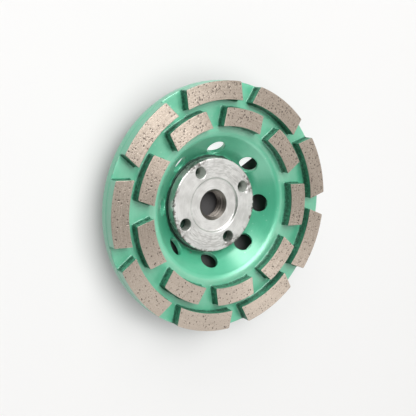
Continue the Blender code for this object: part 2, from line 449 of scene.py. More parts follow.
# %% Group: turning marks
# Noise that changes fast with radius and height and slowly round the wheel. Its fourth dimension
# carries the height, so the marks run round flat faces, cones and cylinders alike.
turning_marks, given, result = new_group(
    "turning_marks",
    [("Spacing", VALUE, 0.3), ("Persistence", VALUE, 2.0)],
    [("Marks", VALUE)])
place = use_group(turning_marks, turned_space)
aim_x, aim_y, _ = split(vector_math("SCALE", place["Direction"], Scale=given["Persistence"])["Vector"])
bent = join(place["Radius"] / given["Spacing"], aim_x, aim_y)
streaks = add_node(
    "ShaderNodeTexNoise",
    {"Vector": bent, "W": place["Height"] / given["Spacing"], "Scale": 1.0, "Detail": 2.0},
    noise_dimensions="4D")["Fac"]
feed(result["Marks"], step_between(streaks, 0.3, 0.7))
print("group:", turning_marks.name)

# %% Group: specks
# Round spots of many sizes. Each Voronoi cell has a random colour: its red decides whether the cell
# has a spot, and its green decides how large the spot is.
specks, given, result = new_group(
    "specks",
    [("Per millimetre", VALUE, 1.0), ("Share", VALUE, 0.2), ("Size", VALUE, 0.4)],
    [("Mask", VALUE)])
position = use_group(specks, turned_space)["Millimetres"]
wobble = add_node("ShaderNodeTexNoise", {"Vector": position, "Scale": given["Per millimetre"] * 2.5})
shifted = vector_math("MULTIPLY_ADD", wobble["Color"], (0.35, 0.35, 0.35), position)["Vector"]
spots = add_node("ShaderNodeTexVoronoi", {"Vector": shifted, "Scale": given["Per millimetre"]})
luck = add_node("ShaderNodeSeparateColor", {"Color": spots["Color"]})
chosen = calc("LESS_THAN", luck["Red"], given["Share"])
reach = given["Size"] * (luck["Green"] + 0.35)
feed(result["Mask"], step_between(spots["Distance"], reach, reach * 0.55) * chosen)
print("group:", specks.name)

# %% Group: wear on a turned edge
# A turned edge is one radius and one height. Wear is whatever lies close to it, broken up by noise.
edge_wear, given, result = new_group(
    "edge_wear",
    [("Edge radius", VALUE, 57.5), ("Edge height", VALUE, 15.1), ("Reach", VALUE, 0.5),
     ("Breakup", VALUE, 0.6)],
    [("Mask", VALUE)])
place = use_group(edge_wear, turned_space)
aside = place["Radius"] - given["Edge radius"]
above = place["Height"] - given["Edge height"]
distance = calc("SQRT", aside * aside + above * above)
broken = cloud(place["Millimetres"], given["Breakup"], detail=4.0, roughness=0.65)
reach = given["Reach"] * step_between(broken, 0.42, 0.72)
feed(result["Mask"], step_between(distance, reach, reach * 0.5))
print("group:", edge_wear.name)

# %% Group: green enamel
# Sprayed enamel has a faint drift of tone where it is thicker, an orange-peel skin about a
# millimetre across, a few dust nibs, and under it the tool marks of the turned steel. This green has
# fine metal flake in it, so the materials that use the group are partly metallic.
green_enamel, given, result = new_group(
    "green_enamel",
    [("Paint", COLOUR, (0.060, 0.456, 0.262, 1.0)), ("Thick paint", COLOUR, (0.044, 0.386, 0.214, 1.0)),
     ("Dust", COLOUR, (0.45, 0.70, 0.58, 1.0)), ("Peel", VALUE, 0.010), ("Tool marks", VALUE, 0.006)],
    [("Colour", COLOUR), ("Roughness", VALUE), ("Height", VALUE)])
position = use_group(green_enamel, turned_space)["Millimetres"]
drift = step_between(cloud(position, 0.07, detail=3.0), 0.35, 0.65)
colour = mix_colour(drift * 0.45, given["Paint"], given["Thick paint"])
marks = use_group(green_enamel, turning_marks, spacing=0.45, persistence=3.0)["Marks"]
colour = mix_colour(abs((marks - 0.5) * 0.10), colour, given["Dust"])
nibs = use_group(green_enamel, specks, per_millimetre=0.55, share=0.10, size=0.22)["Mask"]
feed(result["Colour"], mix_colour(nibs * 0.35, colour, given["Dust"]))
smear = cloud(position, 0.22, detail=3.0)
feed(result["Roughness"], step_between(smear, 0.3, 0.7, 0.36, 0.46))
peel = cloud(position, 0.9, detail=1.0)
feed(result["Height"], peel * given["Peel"] + marks * given["Tool marks"] + nibs * 0.02)
print("group:", green_enamel.name)

# %% [markdown]
# ## Turned shapes
#
# A turned piece is a closed section swept round the axis. Blender's Screw modifier does that well,
# but here one strip of the body has holes with rounded edges, so the rings are made in mesh code and
# the strips are stitched between them. The corners of a section are rounded by the same rule that
# the CAD model uses.

# %% Section tools
LONGEST_ROUNDING_SHARE = 0.45


def round_corner(before, corner_point, after, radius, steps):
    """Points of the arc that rounds one corner of a section, in order."""
    to_before = before - corner_point
    to_after = after - corner_point
    half_angle = to_before.angle(to_after) / 2.0
    longest = LONGEST_ROUNDING_SHARE * min(to_before.length, to_after.length)
    tangent = min(radius / math.tan(half_angle), longest)
    radius = tangent * math.tan(half_angle)
    bisector = (to_before.normalized() + to_after.normalized()).normalized()
    centre = corner_point + bisector * (radius / math.sin(half_angle))
    arm = corner_point + to_before.normalized() * tangent - centre
    end = corner_point + to_after.normalized() * tangent - centre
    sweep = arm.angle_signed(end)
    return [centre + Matrix.Rotation(-sweep * step / steps, 2) @ arm for step in range(steps + 1)]


def rounded_section(corners):
    """Corners given as (radius, height, rounding, steps) become lists of points, one per corner."""
    runs = []
    for index, (radius, height, rounding, steps) in enumerate(corners):
        corner_point = Vector((radius, height))
        if steps == 0:
            runs.append([corner_point])
            continue
        before = Vector(corners[index - 1][:2])
        after = Vector(corners[(index + 1) % len(corners)][:2])
        runs.append(round_corner(before, corner_point, after, rounding, steps))
    return runs


def divide_run(start, end, longest):
    """Points strictly between two section points, no further apart than longest."""
    count = max(1, math.ceil((end - start).length / longest))
    return [start.lerp(end, step / count) for step in range(1, count)]


def quads(first, second):
    """Corners of the faces between two closed loops of points."""
    for index in range(len(first)):
        after = (index + 1) % len(first)
        yield first[index], first[after], second[after], second[index]


def stitch(shell, first, second):
    """Faces between two closed loops of vertices."""
    for corners in quads(first, second):
        shell.faces.new(corners)


class TurnedMesh:
    """Collects rings of vertices about the axis and the strips between them."""

    def __init__(self, steps, first_bearing):
        self.shell = bmesh.new()
        self.bearings = [first_bearing + math.tau * step / steps for step in range(steps)]

    def vertex(self, radius, bearing, height):
        place = (radius * math.cos(bearing), radius * math.sin(bearing), height)
        return self.shell.verts.new(Vector(place) * MM)

    def ring(self, point):
        return [self.vertex(point.x, bearing, point.y) for bearing in self.bearings]

    def sweep(self, points, longest):
        """Rings and strips along a run of section points. Returns the first and last rings."""
        dense = [points[0]]
        for point in points[1:]:
            dense += divide_run(dense[-1], point, longest) + [point]
        rings = [self.ring(point) for point in dense]
        for first, second in zip(rings, rings[1:]):
            stitch(self.shell, first, second)
        return rings[0], rings[-1]

    def finish(self, name):
        bmesh.ops.recalc_face_normals(self.shell, faces=self.shell.faces)
        mesh = bpy.data.meshes.new(name)
        self.shell.to_mesh(mesh)
        self.shell.free()
        return mesh


def shade(mesh, sharpest):
    """Smooth shading, with edges kept sharp above an angle in degrees."""
    mesh.shade_smooth()
    mesh.set_sharp_from_angle(angle=math.radians(sharpest))


print("section tools ready")

# %% [markdown]
# ## Cup body
#
# The body is one forging: a flat rim, a rounded land, a conical wall and a bored hub. Its eight
# cooling holes are drilled square to the wall. A Boolean would leave knife edges and long thin faces
# that shade badly under gloss paint. Instead each hole gets its own patch of the wall: rings of
# vertices that start as the hole's circle and end as the patch's four sides, all lying on the wall.
# A small round then turns from the wall into the bore, as thick enamel does.

# %% Section of the body
BODY_STEPS = 288
PATCH_STEPS = BODY_STEPS // COOLING_HOLES
LONGEST_STRIP = 1.2
HOLE_EDGE_ROUND = 0.42
HOLE_EDGE_STEPS = 5
PATCH_RINGS = 12
BORE_ROWS = 6

back_shift = WALL_THICKNESS / math.sin(wall_slope)
rise_per_radius = math.tan(wall_slope)


def back_wall_radius(height):
    """Radius of the wall's back side at a height."""
    return FLOOR_RADIUS + (height - HUB_THICKNESS) / rise_per_radius + back_shift


body_runs = rounded_section([
    (WHEEL_RADIUS, RIM_FACE, 0.5, 5),
    (WHEEL_RADIUS, RIM_BACK, 1.8, 8),
    (back_wall_radius(RIM_BACK), RIM_BACK, 3.0, 8),
    (back_wall_radius(0.0), 0.0, 2.0, 8),
    (ARBOR_RADIUS, 0.0, 0.5, 1),
    (ARBOR_RADIUS, HUB_THICKNESS, 0.5, 1),
    (FLOOR_RADIUS, HUB_THICKNESS, 1.8, 8),
    (LAND_INNER_RADIUS, RIM_FACE, 4.7, 12),
])
print("section corners:", len(body_runs))

# %% A patch of wall round one cooling hole
MEETING_ROUNDS = 14
MEETING_STEP = 0.05
RING_CROWDING = 0.8
FIRST_CORNER_ANGLE = -0.75 * math.pi


def line_length(points):
    """The length of a line of section points."""
    return sum((b - a).length for a, b in zip(points, points[1:]))


def along_line(points, travel):
    """The point at a distance along a line of section points."""
    for start, end in zip(points, points[1:]):
        span = (end - start).length
        if travel <= span or end is points[-1]:
            return start.lerp(end, travel / span)
        travel -= span
    return points[-1]


class Drill:
    """One cooling hole: its axis, and where a circle round that axis meets a turned surface."""

    def __init__(self, bearing):
        self.bearing = bearing
        along = Vector((math.cos(wall_slope), math.sin(wall_slope)))
        self.up_slope = self.turn(along)
        self.inward = self.turn(Vector((along.y, -along.x)))
        self.across = Vector((-math.sin(bearing), math.cos(bearing), 0.0))
        self.centre = self.turn(Vector((FLOOR_RADIUS, HUB_THICKNESS)) + along * COOLING_HOLE_ALONG_WALL)

    def turn(self, flat_vector):
        """A vector of the section, turned to the hole's bearing."""
        return Vector((flat_vector.x * math.cos(self.bearing),
                       flat_vector.x * math.sin(self.bearing), flat_vector.y))

    def meet(self, line, across, up_slope):
        """Bearing and travel of the surface point that lies over one point of the drill's circle."""
        bearing = self.bearing
        travel = line_length(line) / 2.0
        for _ in range(MEETING_ROUNDS):
            point = along_line(line, travel)
            place = Vector((point.x * math.cos(bearing), point.x * math.sin(bearing), point.y))
            offset = place - self.centre
            bearing += (across - offset.dot(self.across)) / point.x
            ahead = along_line(line, travel + MEETING_STEP) - point
            rate = self.turn(ahead / MEETING_STEP).dot(self.up_slope)
            travel += (up_slope - offset.dot(self.up_slope)) / rate
        return bearing, travel


def patch_outline(line, low_ring, high_ring, side_columns, hole_index, start_bearing):
    """The patch's border, once round, as (vertex, bearing, travel up the wall)."""
    steps = PATCH_STEPS
    take = [(hole_index * steps + step) % BODY_STEPS for step in range(steps + 1)]
    left = side_columns[hole_index]
    right = side_columns[(hole_index + 1) % COOLING_HOLES]
    rows = len(left) + 1
    whole = line_length(line)
    turn = math.tau / COOLING_HOLES
    outline = []
    for step in range(steps):
        outline.append((low_ring[take[step]], start_bearing + turn * step / steps, 0.0))
    for row in range(rows):
        vertex = low_ring[take[steps]] if row == 0 else right[row - 1]
        outline.append((vertex, start_bearing + turn, whole * row / rows))
    for step in range(steps):
        outline.append((high_ring[take[steps - step]], start_bearing + turn * (1 - step / steps), whole))
    for row in range(rows):
        vertex = high_ring[take[0]] if row == 0 else left[rows - row - 1]
        outline.append((vertex, start_bearing, whole * (1 - row / rows)))
    return outline


def drill_wall(body, line, outline, drill, into_metal):
    """Stitch one patch of wall round its hole. Returns the loop of vertices inside the bore."""
    circle = []
    for index in range(len(outline)):
        angle = math.tau * index / len(outline) + FIRST_CORNER_ANGLE
        reach = COOLING_HOLE_RADIUS + HOLE_EDGE_ROUND
        circle.append(drill.meet(line, reach * math.cos(angle), reach * math.sin(angle)))
    loops = [[entry[0] for entry in outline]]
    for ring in range(1, PATCH_RINGS + 1):
        share = (ring / PATCH_RINGS) ** RING_CROWDING
        loop = []
        for (_, bearing, travel), (to_bearing, to_travel) in zip(outline, circle):
            point = along_line(line, travel + (to_travel - travel) * share)
            loop.append(body.vertex(point.x, bearing + (to_bearing - bearing) * share, point.y))
        loops.append(loop)
    on_surface = loops[-1]
    for step in range(1, HOLE_EDGE_STEPS + 1):
        angle = 0.5 * math.pi * step / HOLE_EDGE_STEPS
        loop = []
        for vertex in on_surface:
            offset = vertex.co / MM - drill.centre
            depth = offset.dot(drill.inward)
            radial = offset - drill.inward * depth
            radius = radial.length - HOLE_EDGE_ROUND * math.sin(angle)
            deeper = depth + into_metal * HOLE_EDGE_ROUND * (1.0 - math.cos(angle))
            place = drill.centre + radial.normalized() * radius + drill.inward * deeper
            loop.append(body.shell.verts.new(place * MM))
        loops.append(loop)
    for outer, inner in zip(loops, loops[1:]):
        stitch(body.shell, outer, inner)
    return loops[-1]


print("hole patches:", COOLING_HOLES, "on each side of the wall")

# %% Make the cup body
body = TurnedMesh(BODY_STEPS, COOLING_HOLE_BEARING - math.pi / COOLING_HOLES)
front_line = body_runs[6] + [body_runs[7][0]]
back_line = [body_runs[3][0], body_runs[2][-1]]


def side_columns_for(line):
    """The columns of vertices that neighbouring patches share."""
    columns = []
    for index in range(COOLING_HOLES):
        bearing = body.bearings[index * PATCH_STEPS]
        points = [along_line(line, line_length(line) * row / PATCH_STEPS) for row in range(1, PATCH_STEPS)]
        columns.append([body.vertex(point.x, bearing, point.y) for point in points])
    return columns


outside = body_runs[7] + body_runs[0] + body_runs[1] + body_runs[2]
land_ring, back_high_ring = body.sweep(outside, LONGEST_STRIP)
hub = body_runs[3] + body_runs[4] + body_runs[5] + [body_runs[6][0]]
back_low_ring, floor_ring = body.sweep(hub, LONGEST_STRIP)
front_border = (front_line, floor_ring, land_ring, side_columns_for(front_line))
back_border = (back_line, back_low_ring, back_high_ring, side_columns_for(back_line))

for index in range(COOLING_HOLES):
    drill = Drill(COOLING_HOLE_BEARING + math.tau * index / COOLING_HOLES)
    start_bearing = drill.bearing - math.pi / COOLING_HOLES
    mouths = []
    for border, into_metal in ((front_border, 1.0), (back_border, -1.0)):
        outline = patch_outline(*border, index, start_bearing)
        mouths.append(drill_wall(body, border[0], outline, drill, into_metal))
    loops = [mouths[0]]
    for row in range(1, BORE_ROWS):
        loops.append([body.shell.verts.new(a.co.lerp(b.co, row / BORE_ROWS)) for a, b in zip(*mouths)])
    loops.append(mouths[1])
    for outer, inner in zip(loops, loops[1:]):
        stitch(body.shell, outer, inner)

open_edges = sum(1 for edge in body.shell.edges if not edge.is_manifold)
body_mesh = body.finish("cup_body_enamelled")
shade(body_mesh, sharpest=38.0)
cup_body = link_object("cup_body_enamelled", body_mesh)
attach(cup_body, "root")
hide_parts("cup_body")
print("cup body:", len(body_mesh.polygons), "faces,", open_edges, "open edges")

# %% [markdown]
# ## Finish of the body
#
# Metal-flake enamel on steel. The Principled shader does the gloss: a partly metallic base for the
# flake and a thin clear coat for the sharp streaks. The enamel group gives colour, roughness and
# height. Along the rim's two edges the paint has been rubbed through in places, so there the finish
# turns to bare steel, by one mask that drives colour, roughness and metal together. The floor round the
# nut is darkened near black and made dull, as painted shade in the gap under the nut. A thin pale film,
# partly grinding dust and partly painted sheen, lies on the rim and the land.

# %% Enamelled steel
STEEL_COLOUR = (0.42, 0.41, 0.39, 1.0)
NUT_GAP_SHADE = (0.014, 0.024, 0.019, 1.0)
DUST_AND_SHEEN = (0.47, 0.60, 0.50, 1.0)
FLAKE = 0.22
CLEAR_COAT = 0.95
CLEAR_COAT_ROUGHNESS = 0.30
CLEAR_COAT_IOR = 1.8

enamelled_steel, tree, shader = new_material("enamelled_steel")
enamel = use_group(tree, green_enamel)
rubbed_face = use_group(tree, edge_wear, edge_radius=WHEEL_RADIUS - 0.15, edge_height=RIM_FACE - 0.15,
                        reach=0.16, breakup=0.35)["Mask"]
rubbed_back = use_group(tree, edge_wear, edge_radius=WHEEL_RADIUS - 0.4, edge_height=RIM_BACK + 0.4,
                        reach=0.75, breakup=0.4)["Mask"]
chips = use_group(tree, specks, per_millimetre=0.16, share=0.05, size=0.13)["Mask"]
bare = strongest(rubbed_face, rubbed_back, chips)
place = use_group(tree, turned_space)
# Painted shade: the floor round the nut is darkened near black, in the gap where the nut shades it.
in_recess = step_between(place["Height"], HUB_THICKNESS + 0.6, HUB_THICKNESS + 0.2)
uneven = (cloud(place["Millimetres"], 0.25, detail=3.0) - 0.5) * 1.6
nut_gap_shade_rim = uneven + (FLOOR_RADIUS + 0.1)
nut_gap_shade = step_between(place["Radius"], nut_gap_shade_rim, nut_gap_shade_rim - 0.6) * in_recess * 0.92
# Dust and painted sheen: a pale film on the up-facing rim and land, partly dust, partly painted sheen.
dust_and_sheen_cloud = cloud(place["Millimetres"], 0.12, detail=5.0, roughness=0.6)
on_rim = step_between(place["Height"], RIM_FACE - 0.5, RIM_FACE - 0.05)
on_land = step_between(place["Radius"], LAND_INNER_RADIUS + 3.9, LAND_INNER_RADIUS + 3.4, 0.0, 0.09)
dust_and_sheen_film = on_rim * (on_land + step_between(dust_and_sheen_cloud, 0.35, 0.65, 0.03, 0.16))
paint = mix_colour(nut_gap_shade, mix_colour(dust_and_sheen_film, enamel["Colour"], DUST_AND_SHEEN), NUT_GAP_SHADE)
feed(shader["Base Color"], mix_colour(bare, paint, STEEL_COLOUR))
feed(shader["Roughness"], mix_value(bare, enamel["Roughness"], 0.45))
feed(shader["Metallic"], mix_value(bare, FLAKE, 1.0))
feed(shader["Coat Weight"], (1.0 - strongest(bare, nut_gap_shade)) * CLEAR_COAT)
shader["Coat Roughness"].default_value = CLEAR_COAT_ROUGHNESS
shader["Coat IOR"].default_value = CLEAR_COAT_IOR
feed(shader["Normal"], bump(enamel["Height"] + bare * -0.05))
cup_body.data.materials.append(enamelled_steel)
print("finish:", enamelled_steel.name)

# %% [markdown]
# ## Diamond segments
#
# A segment is pressed metal powder and diamond grit. It is brazed to the rim, the whole wheel is
# sprayed, and then the working faces are dressed flat, which cuts the paint off their tops and opens
# pits. So each segment is a block with three parts: a bare top with real pits, slightly lumpy
# painted sides, and a fillet of painted braze that spreads onto the rim. The block is a grid that is
# carved by small balls, which is how grit leaves its socket, and each carved point remembers it.

# %% Segment tools
ALONG_CELLS_PER_MM = 3.4
ACROSS_CELLS = 26
EDGE_ROUND = 0.10
CORNER_CUT = 0.12
BRAZE_FILLET = 1.05
BRAZE_STEPS = 5
SIDE_ROWS = 7
OUTER_FACE_RADIUS = 57.38
UNDER_RIM = 0.55
UNDERSIDE_INSET = 1.2
UNDERSIDE_SINK = 0.7
LUMP_SIZE = 0.045
PIT_MARGIN = 0.4
FULL_CHIP_DEPTH = 0.18
CHIPPED_BAND = 1.2


def loop_of_grid(columns, rows):
    """Indices of a grid's border, once round."""
    south = [(column, 0) for column in range(columns)]
    east = [(columns, row) for row in range(rows)]
    north = [(column, rows) for column in range(columns, 0, -1)]
    west = [(0, row) for row in range(rows, 0, -1)]
    return south + east + north + west


def segment_outline(outer, inner, length, columns, rows):
    """Plan points of the grid's border, with their outward directions."""
    half = length / 2.0
    entries = []
    for column, row in loop_of_grid(columns, rows):
        y = half * (2.0 * column / columns - 1.0)
        radius = inner + (outer - inner) * row / rows
        at_end = column in (0, columns)
        at_side = row in (0, rows)
        x = math.sqrt(radius * radius - y * y)
        outward = Vector((0.0, 0.0))
        if at_side:
            outward += Vector((x, y)).normalized() * (1.0 if row == rows else -1.0)
        if at_end:
            outward += Vector((0.0, 1.0 if column == columns else -1.0))
        point = Vector((x, y))
        if at_side and at_end:
            point -= outward * CORNER_CUT
        outward.normalize()
        entries.append((point, outward))
    return entries


def carve(points, balls):
    """Push every point inside a ball out to its surface. Returns how deep each one was cut."""
    depth = np.zeros(len(points))
    for centre, radius in balls:
        away = points - centre
        distance = np.linalg.norm(away, axis=1)
        inside = distance < radius
        if inside.any():
            cut = radius - distance[inside]
            unit_away = away[inside] / np.maximum(distance[inside], 1e-6)[:, None]
            points[inside] = centre + unit_away * radius
            depth[inside] = np.maximum(depth[inside], cut)
    return depth


def pit_balls(chance, outer, inner, length, count):
    """Balls that scoop pits out of a segment's top."""
    balls = []
    for _ in range(count):
        y = chance.uniform(-0.5, 0.5) * (length - 0.6)
        radius = chance.uniform(inner + PIT_MARGIN, outer - PIT_MARGIN)
        size = 0.10 + 0.26 * chance.random() ** 2
        lift = size * chance.uniform(0.45, 0.75)
        centre = np.array([math.sqrt(radius * radius - y * y), y, SEGMENT_TOP + lift])
        balls.append((centre, size + 0.12))
    return balls


def chip_balls(chance, outline, count):
    """Balls that knock small chips off a segment's upper edge."""
    balls = []
    for _ in range(count):
        point, outward = outline[chance.integers(len(outline))]
        size = chance.uniform(0.35, 0.75)
        stand_off = size * chance.uniform(0.55, 0.8)
        centre = np.array([point.x + outward.x * stand_off, point.y + outward.y * stand_off,
                           SEGMENT_TOP + stand_off * 0.8])
        balls.append((centre, size))
    return balls


print("segment tools ready")

# %% One segment
# The sides are levels given as (how far out, height, how bare): the rounded upper edge, the painted
# side, and a quarter circle of braze.
SIDE_TOP = SEGMENT_TOP - 0.32
SIDE_FOOT = RIM_FACE + BRAZE_FILLET

side_levels = [(-0.03, SEGMENT_TOP - 0.03, 1.0), (0.0, SEGMENT_TOP - 0.12, 0.75), (0.0, SIDE_TOP, 0.2)]
for step in range(1, SIDE_ROWS + 1):
    side_levels.append((0.0, SIDE_TOP + (SIDE_FOOT - SIDE_TOP) * step / SIDE_ROWS, 0.0))
for step in range(1, BRAZE_STEPS + 1):
    angle = 0.5 * math.pi * step / BRAZE_STEPS
    side_levels.append((BRAZE_FILLET * (1.0 - math.cos(angle)),
                        SIDE_FOOT - (BRAZE_FILLET + 0.04) * math.sin(angle), 0.0))
side_levels.append((BRAZE_FILLET, RIM_FACE - 0.2, 0.0))


def side_ring(outline, level, is_outer_row, shift):
    """One level of a segment's sides, as (place, how bare, share of dirt and painted shade) for each point.
    """
    offset, height, bare_level = level
    entries = []
    for point, outward in outline:
        facing_out = max(0.0, outward.dot(point.normalized())) ** 4 if is_outer_row else 0.0
        spread = 0.8 + 0.5 * noise.noise(Vector((point.x, point.y, 0.0)) * 0.35 + shift)
        reach = offset * (spread * (1.0 - facing_out) + 0.05 * facing_out)
        drop = 0.0
        if height < SIDE_FOOT:
            drop = UNDER_RIM * facing_out * (SIDE_FOOT - height) / (SIDE_FOOT - RIM_FACE + 0.05)
        lump = 0.0
        if bare_level <= 0.5:
            lump_place = Vector((point.x, point.y, height)) * 0.9 + shift
            lump = LUMP_SIZE * noise.noise(lump_place) * (1.0 - facing_out)
        place = point + outward * (reach + lump)
        if is_outer_row:
            place *= min(1.0, (OUTER_FACE_RADIUS + 0.06) / place.length)
        entries.append(((place.x, place.y, height - drop), bare_level, 1.0 - facing_out))
    return entries


def make_segment(name, row_sizes, bearing, seed, pits, chips_wanted):
    """One painted segment as a mesh in the wheel's frame."""
    outer, inner, length = row_sizes
    chance = np.random.default_rng(seed)
    is_outer_row = row_sizes == OUTER_ROW
    face_radius = OUTER_FACE_RADIUS if is_outer_row else outer
    columns = round(length * ALONG_CELLS_PER_MM)
    rows = ACROSS_CELLS
    outline = segment_outline(face_radius, inner, length, columns, rows)
    border = loop_of_grid(columns, rows)

    entries = []
    faces = []
    index_of = {}

    def add(place, bare_level, dirt_and_shade_share=1.0):
        entries.append((place, bare_level, dirt_and_shade_share))
        return len(entries) - 1

    for column in range(columns + 1):
        for row in range(rows + 1):
            if column in (0, columns) or row in (0, rows):
                continue
            y = (length / 2.0 - EDGE_ROUND) * (2.0 * column / columns - 1.0)
            radius = inner + EDGE_ROUND + (face_radius - inner - 2.0 * EDGE_ROUND) * row / rows
            index_of[column, row] = add((math.sqrt(radius * radius - y * y), y, SEGMENT_TOP), 1.0)
    for place, (point, outward) in zip(border, outline):
        inset = point - outward * EDGE_ROUND
        index_of[place] = add((inset.x, inset.y, SEGMENT_TOP), 1.0)
    for column in range(columns):
        for row in range(rows):
            faces.append((index_of[column, row], index_of[column + 1, row],
                          index_of[column + 1, row + 1], index_of[column, row + 1]))

    shift = Vector((seed * 3.7, seed * 1.3, 0.0))
    rings = [[index_of[place] for place in border]]
    for level in side_levels:
        rings.append([add(*entry) for entry in side_ring(outline, level, is_outer_row, shift)])
    underside = [point - outward * UNDERSIDE_INSET for point, outward in outline]
    rings.append([add((place.x, place.y, RIM_FACE - UNDERSIDE_SINK), 0.0) for place in underside])
    for upper, lower in zip(rings, rings[1:]):
        faces += [(a, d, c, b) for a, b, c, d in quads(upper, lower)]
    faces.append(tuple(rings[-1]))

    points = np.array([entry[0] for entry in entries])
    balls = pit_balls(chance, face_radius, inner, length, pits)
    balls += chip_balls(chance, outline, chips_wanted)
    depth = carve(points, balls)
    points[:, 2] = np.minimum(points[:, 2], SEGMENT_TOP)

    turn = Matrix.Rotation(bearing, 3, "Z")
    mesh = bpy.data.meshes.new(name)
    mesh.from_pydata([turn @ Vector(point) * MM for point in points], [], faces)
    mesh.validate()
    shell = bmesh.new()
    shell.from_mesh(mesh)
    bmesh.ops.recalc_face_normals(shell, faces=shell.faces)
    shell.to_mesh(mesh)
    shell.free()
    shade(mesh, sharpest=50.0)

    chipped = np.minimum(depth / FULL_CHIP_DEPTH, 1.0)
    bareness = np.array([entry[1] for entry in entries])
    fields = {
        "bare": np.maximum(bareness, chipped * (points[:, 2] > SEGMENT_TOP - CHIPPED_BAND)),
        "carved": chipped,
        "dirt_and_shade_share": np.array([entry[2] for entry in entries]),
        "tone": np.full(len(entries), chance.random()),
    }
    for attribute_name, values in fields.items():
        attribute = mesh.attributes.new(attribute_name, "FLOAT", "POINT")
        attribute.data.foreach_set("value", values.astype(np.float32))
    return mesh


print("levels down a segment's side:", len(side_levels))

# %% Make both rows
# The wheel has worn unevenly: pits are open on one side of it and smeared shut by rubbing on the other.
PITTED_BEARING = math.radians(170.0)
MEAN_OPENNESS = 0.72
OPENNESS_SWING = 0.28
CHIPS_PER_SEGMENT = 9
segment_pieces = []


def make_row(row_name, row_sizes, first_bearing, first_seed, pits_per_mm2):
    """The nine segments of a row."""
    faces = 0
    area = (row_sizes[0] - row_sizes[1]) * row_sizes[2]
    for index in range(SEGMENTS_PER_ROW):
        bearing = first_bearing + math.tau * index / SEGMENTS_PER_ROW
        openness = MEAN_OPENNESS + OPENNESS_SWING * math.cos(bearing - PITTED_BEARING)
        pits = round(area * pits_per_mm2 * openness)
        name = f"{row_name}_segment_{index + 1:02d}"
        mesh = make_segment(f"painted_{name}", row_sizes, bearing, first_seed + index, pits,
                            CHIPS_PER_SEGMENT)
        segment = link_object(f"painted_{name}", mesh)
        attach(segment, "root")
        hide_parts(name)
        segment_pieces.append(segment)
        faces += len(mesh.polygons)
    print(row_name, "row:", SEGMENTS_PER_ROW, "segments with", faces, "faces")


first_inner_bearing = FIRST_SEGMENT_BEARING + math.pi / SEGMENTS_PER_ROW
make_row("outer", OUTER_ROW, FIRST_SEGMENT_BEARING, first_seed=11, pits_per_mm2=0.62)
make_row("inner", INNER_ROW, first_inner_bearing, first_seed=41, pits_per_mm2=0.72)

# %% [markdown]
# ## Finish of the segments
#
# One material for both parts of a segment. The bare bond is a warm grey metal matrix: mottled, with
# pale grit, dark sockets, and fine dressing marks that run round the wheel. Marks too fine to see
# still spread a reflection across them, so the shader is anisotropic, with its tangent along the
# wheel's radius. On the side of the wheel towards the near lamp, the bond is a little brighter, as a
# painted highlight. The sides wear the same enamel as the body, darkened by dirt and painted shade on
# the faces that don't face outwards. The mesh carries how bare each point is, and noise makes that
# border ragged.

# %% Painted segment
BOND_LIGHT = (0.520, 0.444, 0.374, 1.0)
BOND_DARK = (0.275, 0.225, 0.182, 1.0)
PAINTED_HIGHLIGHT_BOND = (0.600, 0.520, 0.446, 1.0)
PAINTED_HIGHLIGHT_BEARING = math.radians(5.0)
BOND_METAL = 0.70
BOND_ANISOTROPY = 0.76
SIDE_DIRT_AND_SHADE = (0.018, 0.050, 0.032, 1.0)
GRIT_COLOUR = (0.72, 0.66, 0.55, 1.0)
SOCKET_COLOUR = (0.075, 0.060, 0.050, 1.0)

painted_segment, tree, shader = new_material("painted_segment")
place = use_group(tree, turned_space)
position = place["Millimetres"]
enamel = use_group(tree, green_enamel, peel=0.02, tool_marks=0.0)
mottle = step_between(cloud(position, 1.3, detail=5.0, roughness=0.7), 0.35, 0.65)
tone = mottle * 0.45 + mesh_value(tree, "tone") * 0.22
dressing = use_group(tree, turning_marks, spacing=0.26, persistence=7.0)["Marks"]
scores = use_group(tree, turning_marks, spacing=0.60, persistence=4.0)["Marks"]
bond = mix_colour(tone, BOND_LIGHT, BOND_DARK)
bond = mix_colour(dressing * 0.32 + scores * 0.32, bond, BOND_DARK)
# Painted highlight: the bond is brighter on the side of the wheel towards the near lamp.
to_painted_highlight_side = vector_math("DOT_PRODUCT", place["Direction"], toward(PAINTED_HIGHLIGHT_BEARING))["Value"]
bond = mix_colour(step_between(to_painted_highlight_side, 0.35, 0.85, 0.0, 0.30), bond, PAINTED_HIGHLIGHT_BOND)
grit = use_group(tree, specks, per_millimetre=1.9, share=0.22, size=0.30)["Mask"]
bond = mix_colour(grit * 0.55, bond, GRIT_COLOUR)
fine_pits = use_group(tree, specks, per_millimetre=1.35, share=0.24, size=0.27)["Mask"]
sockets = strongest(fine_pits * 0.9, step_between(mesh_value(tree, "carved"), 0.15, 0.75))
bond = mix_colour(sockets * 0.85, bond, SOCKET_COLOUR)

ragged = (cloud(position, 1.6) - 0.5) * 0.9
bare = step_between(mesh_value(tree, "bare") + ragged, 0.45, 0.55)
# Dirt and painted shade: the sides that don't face outwards are darkened, partly dirt, partly shade.
dirt_and_shade_cloud = cloud(position, 0.8, detail=4.0, roughness=0.65)
side_dirt_and_shade = step_between(dirt_and_shade_cloud, 0.30, 0.62, 0.55, 0.92) * mesh_value(tree, "dirt_and_shade_share")
side_dirt_and_shade *= step_between(place["Height"], RIM_FACE - 0.05, RIM_FACE + 0.40, 0.3, 1.0)
side_dirt_and_shade *= step_between(place["Height"], RIM_FACE + 1.4, SEGMENT_TOP - 0.4, 1.0, 0.70)
paint = mix_colour(side_dirt_and_shade, enamel["Colour"], SIDE_DIRT_AND_SHADE)
paint_roughness = mix_value(side_dirt_and_shade, enamel["Roughness"], 0.75)
bond_roughness = step_between(mottle, 0.0, 1.0, 0.40, 0.50)
bond_height = grit * 0.02 + dressing * 0.030 + fine_pits * -0.06
feed(shader["Base Color"], mix_colour(bare, paint, bond))
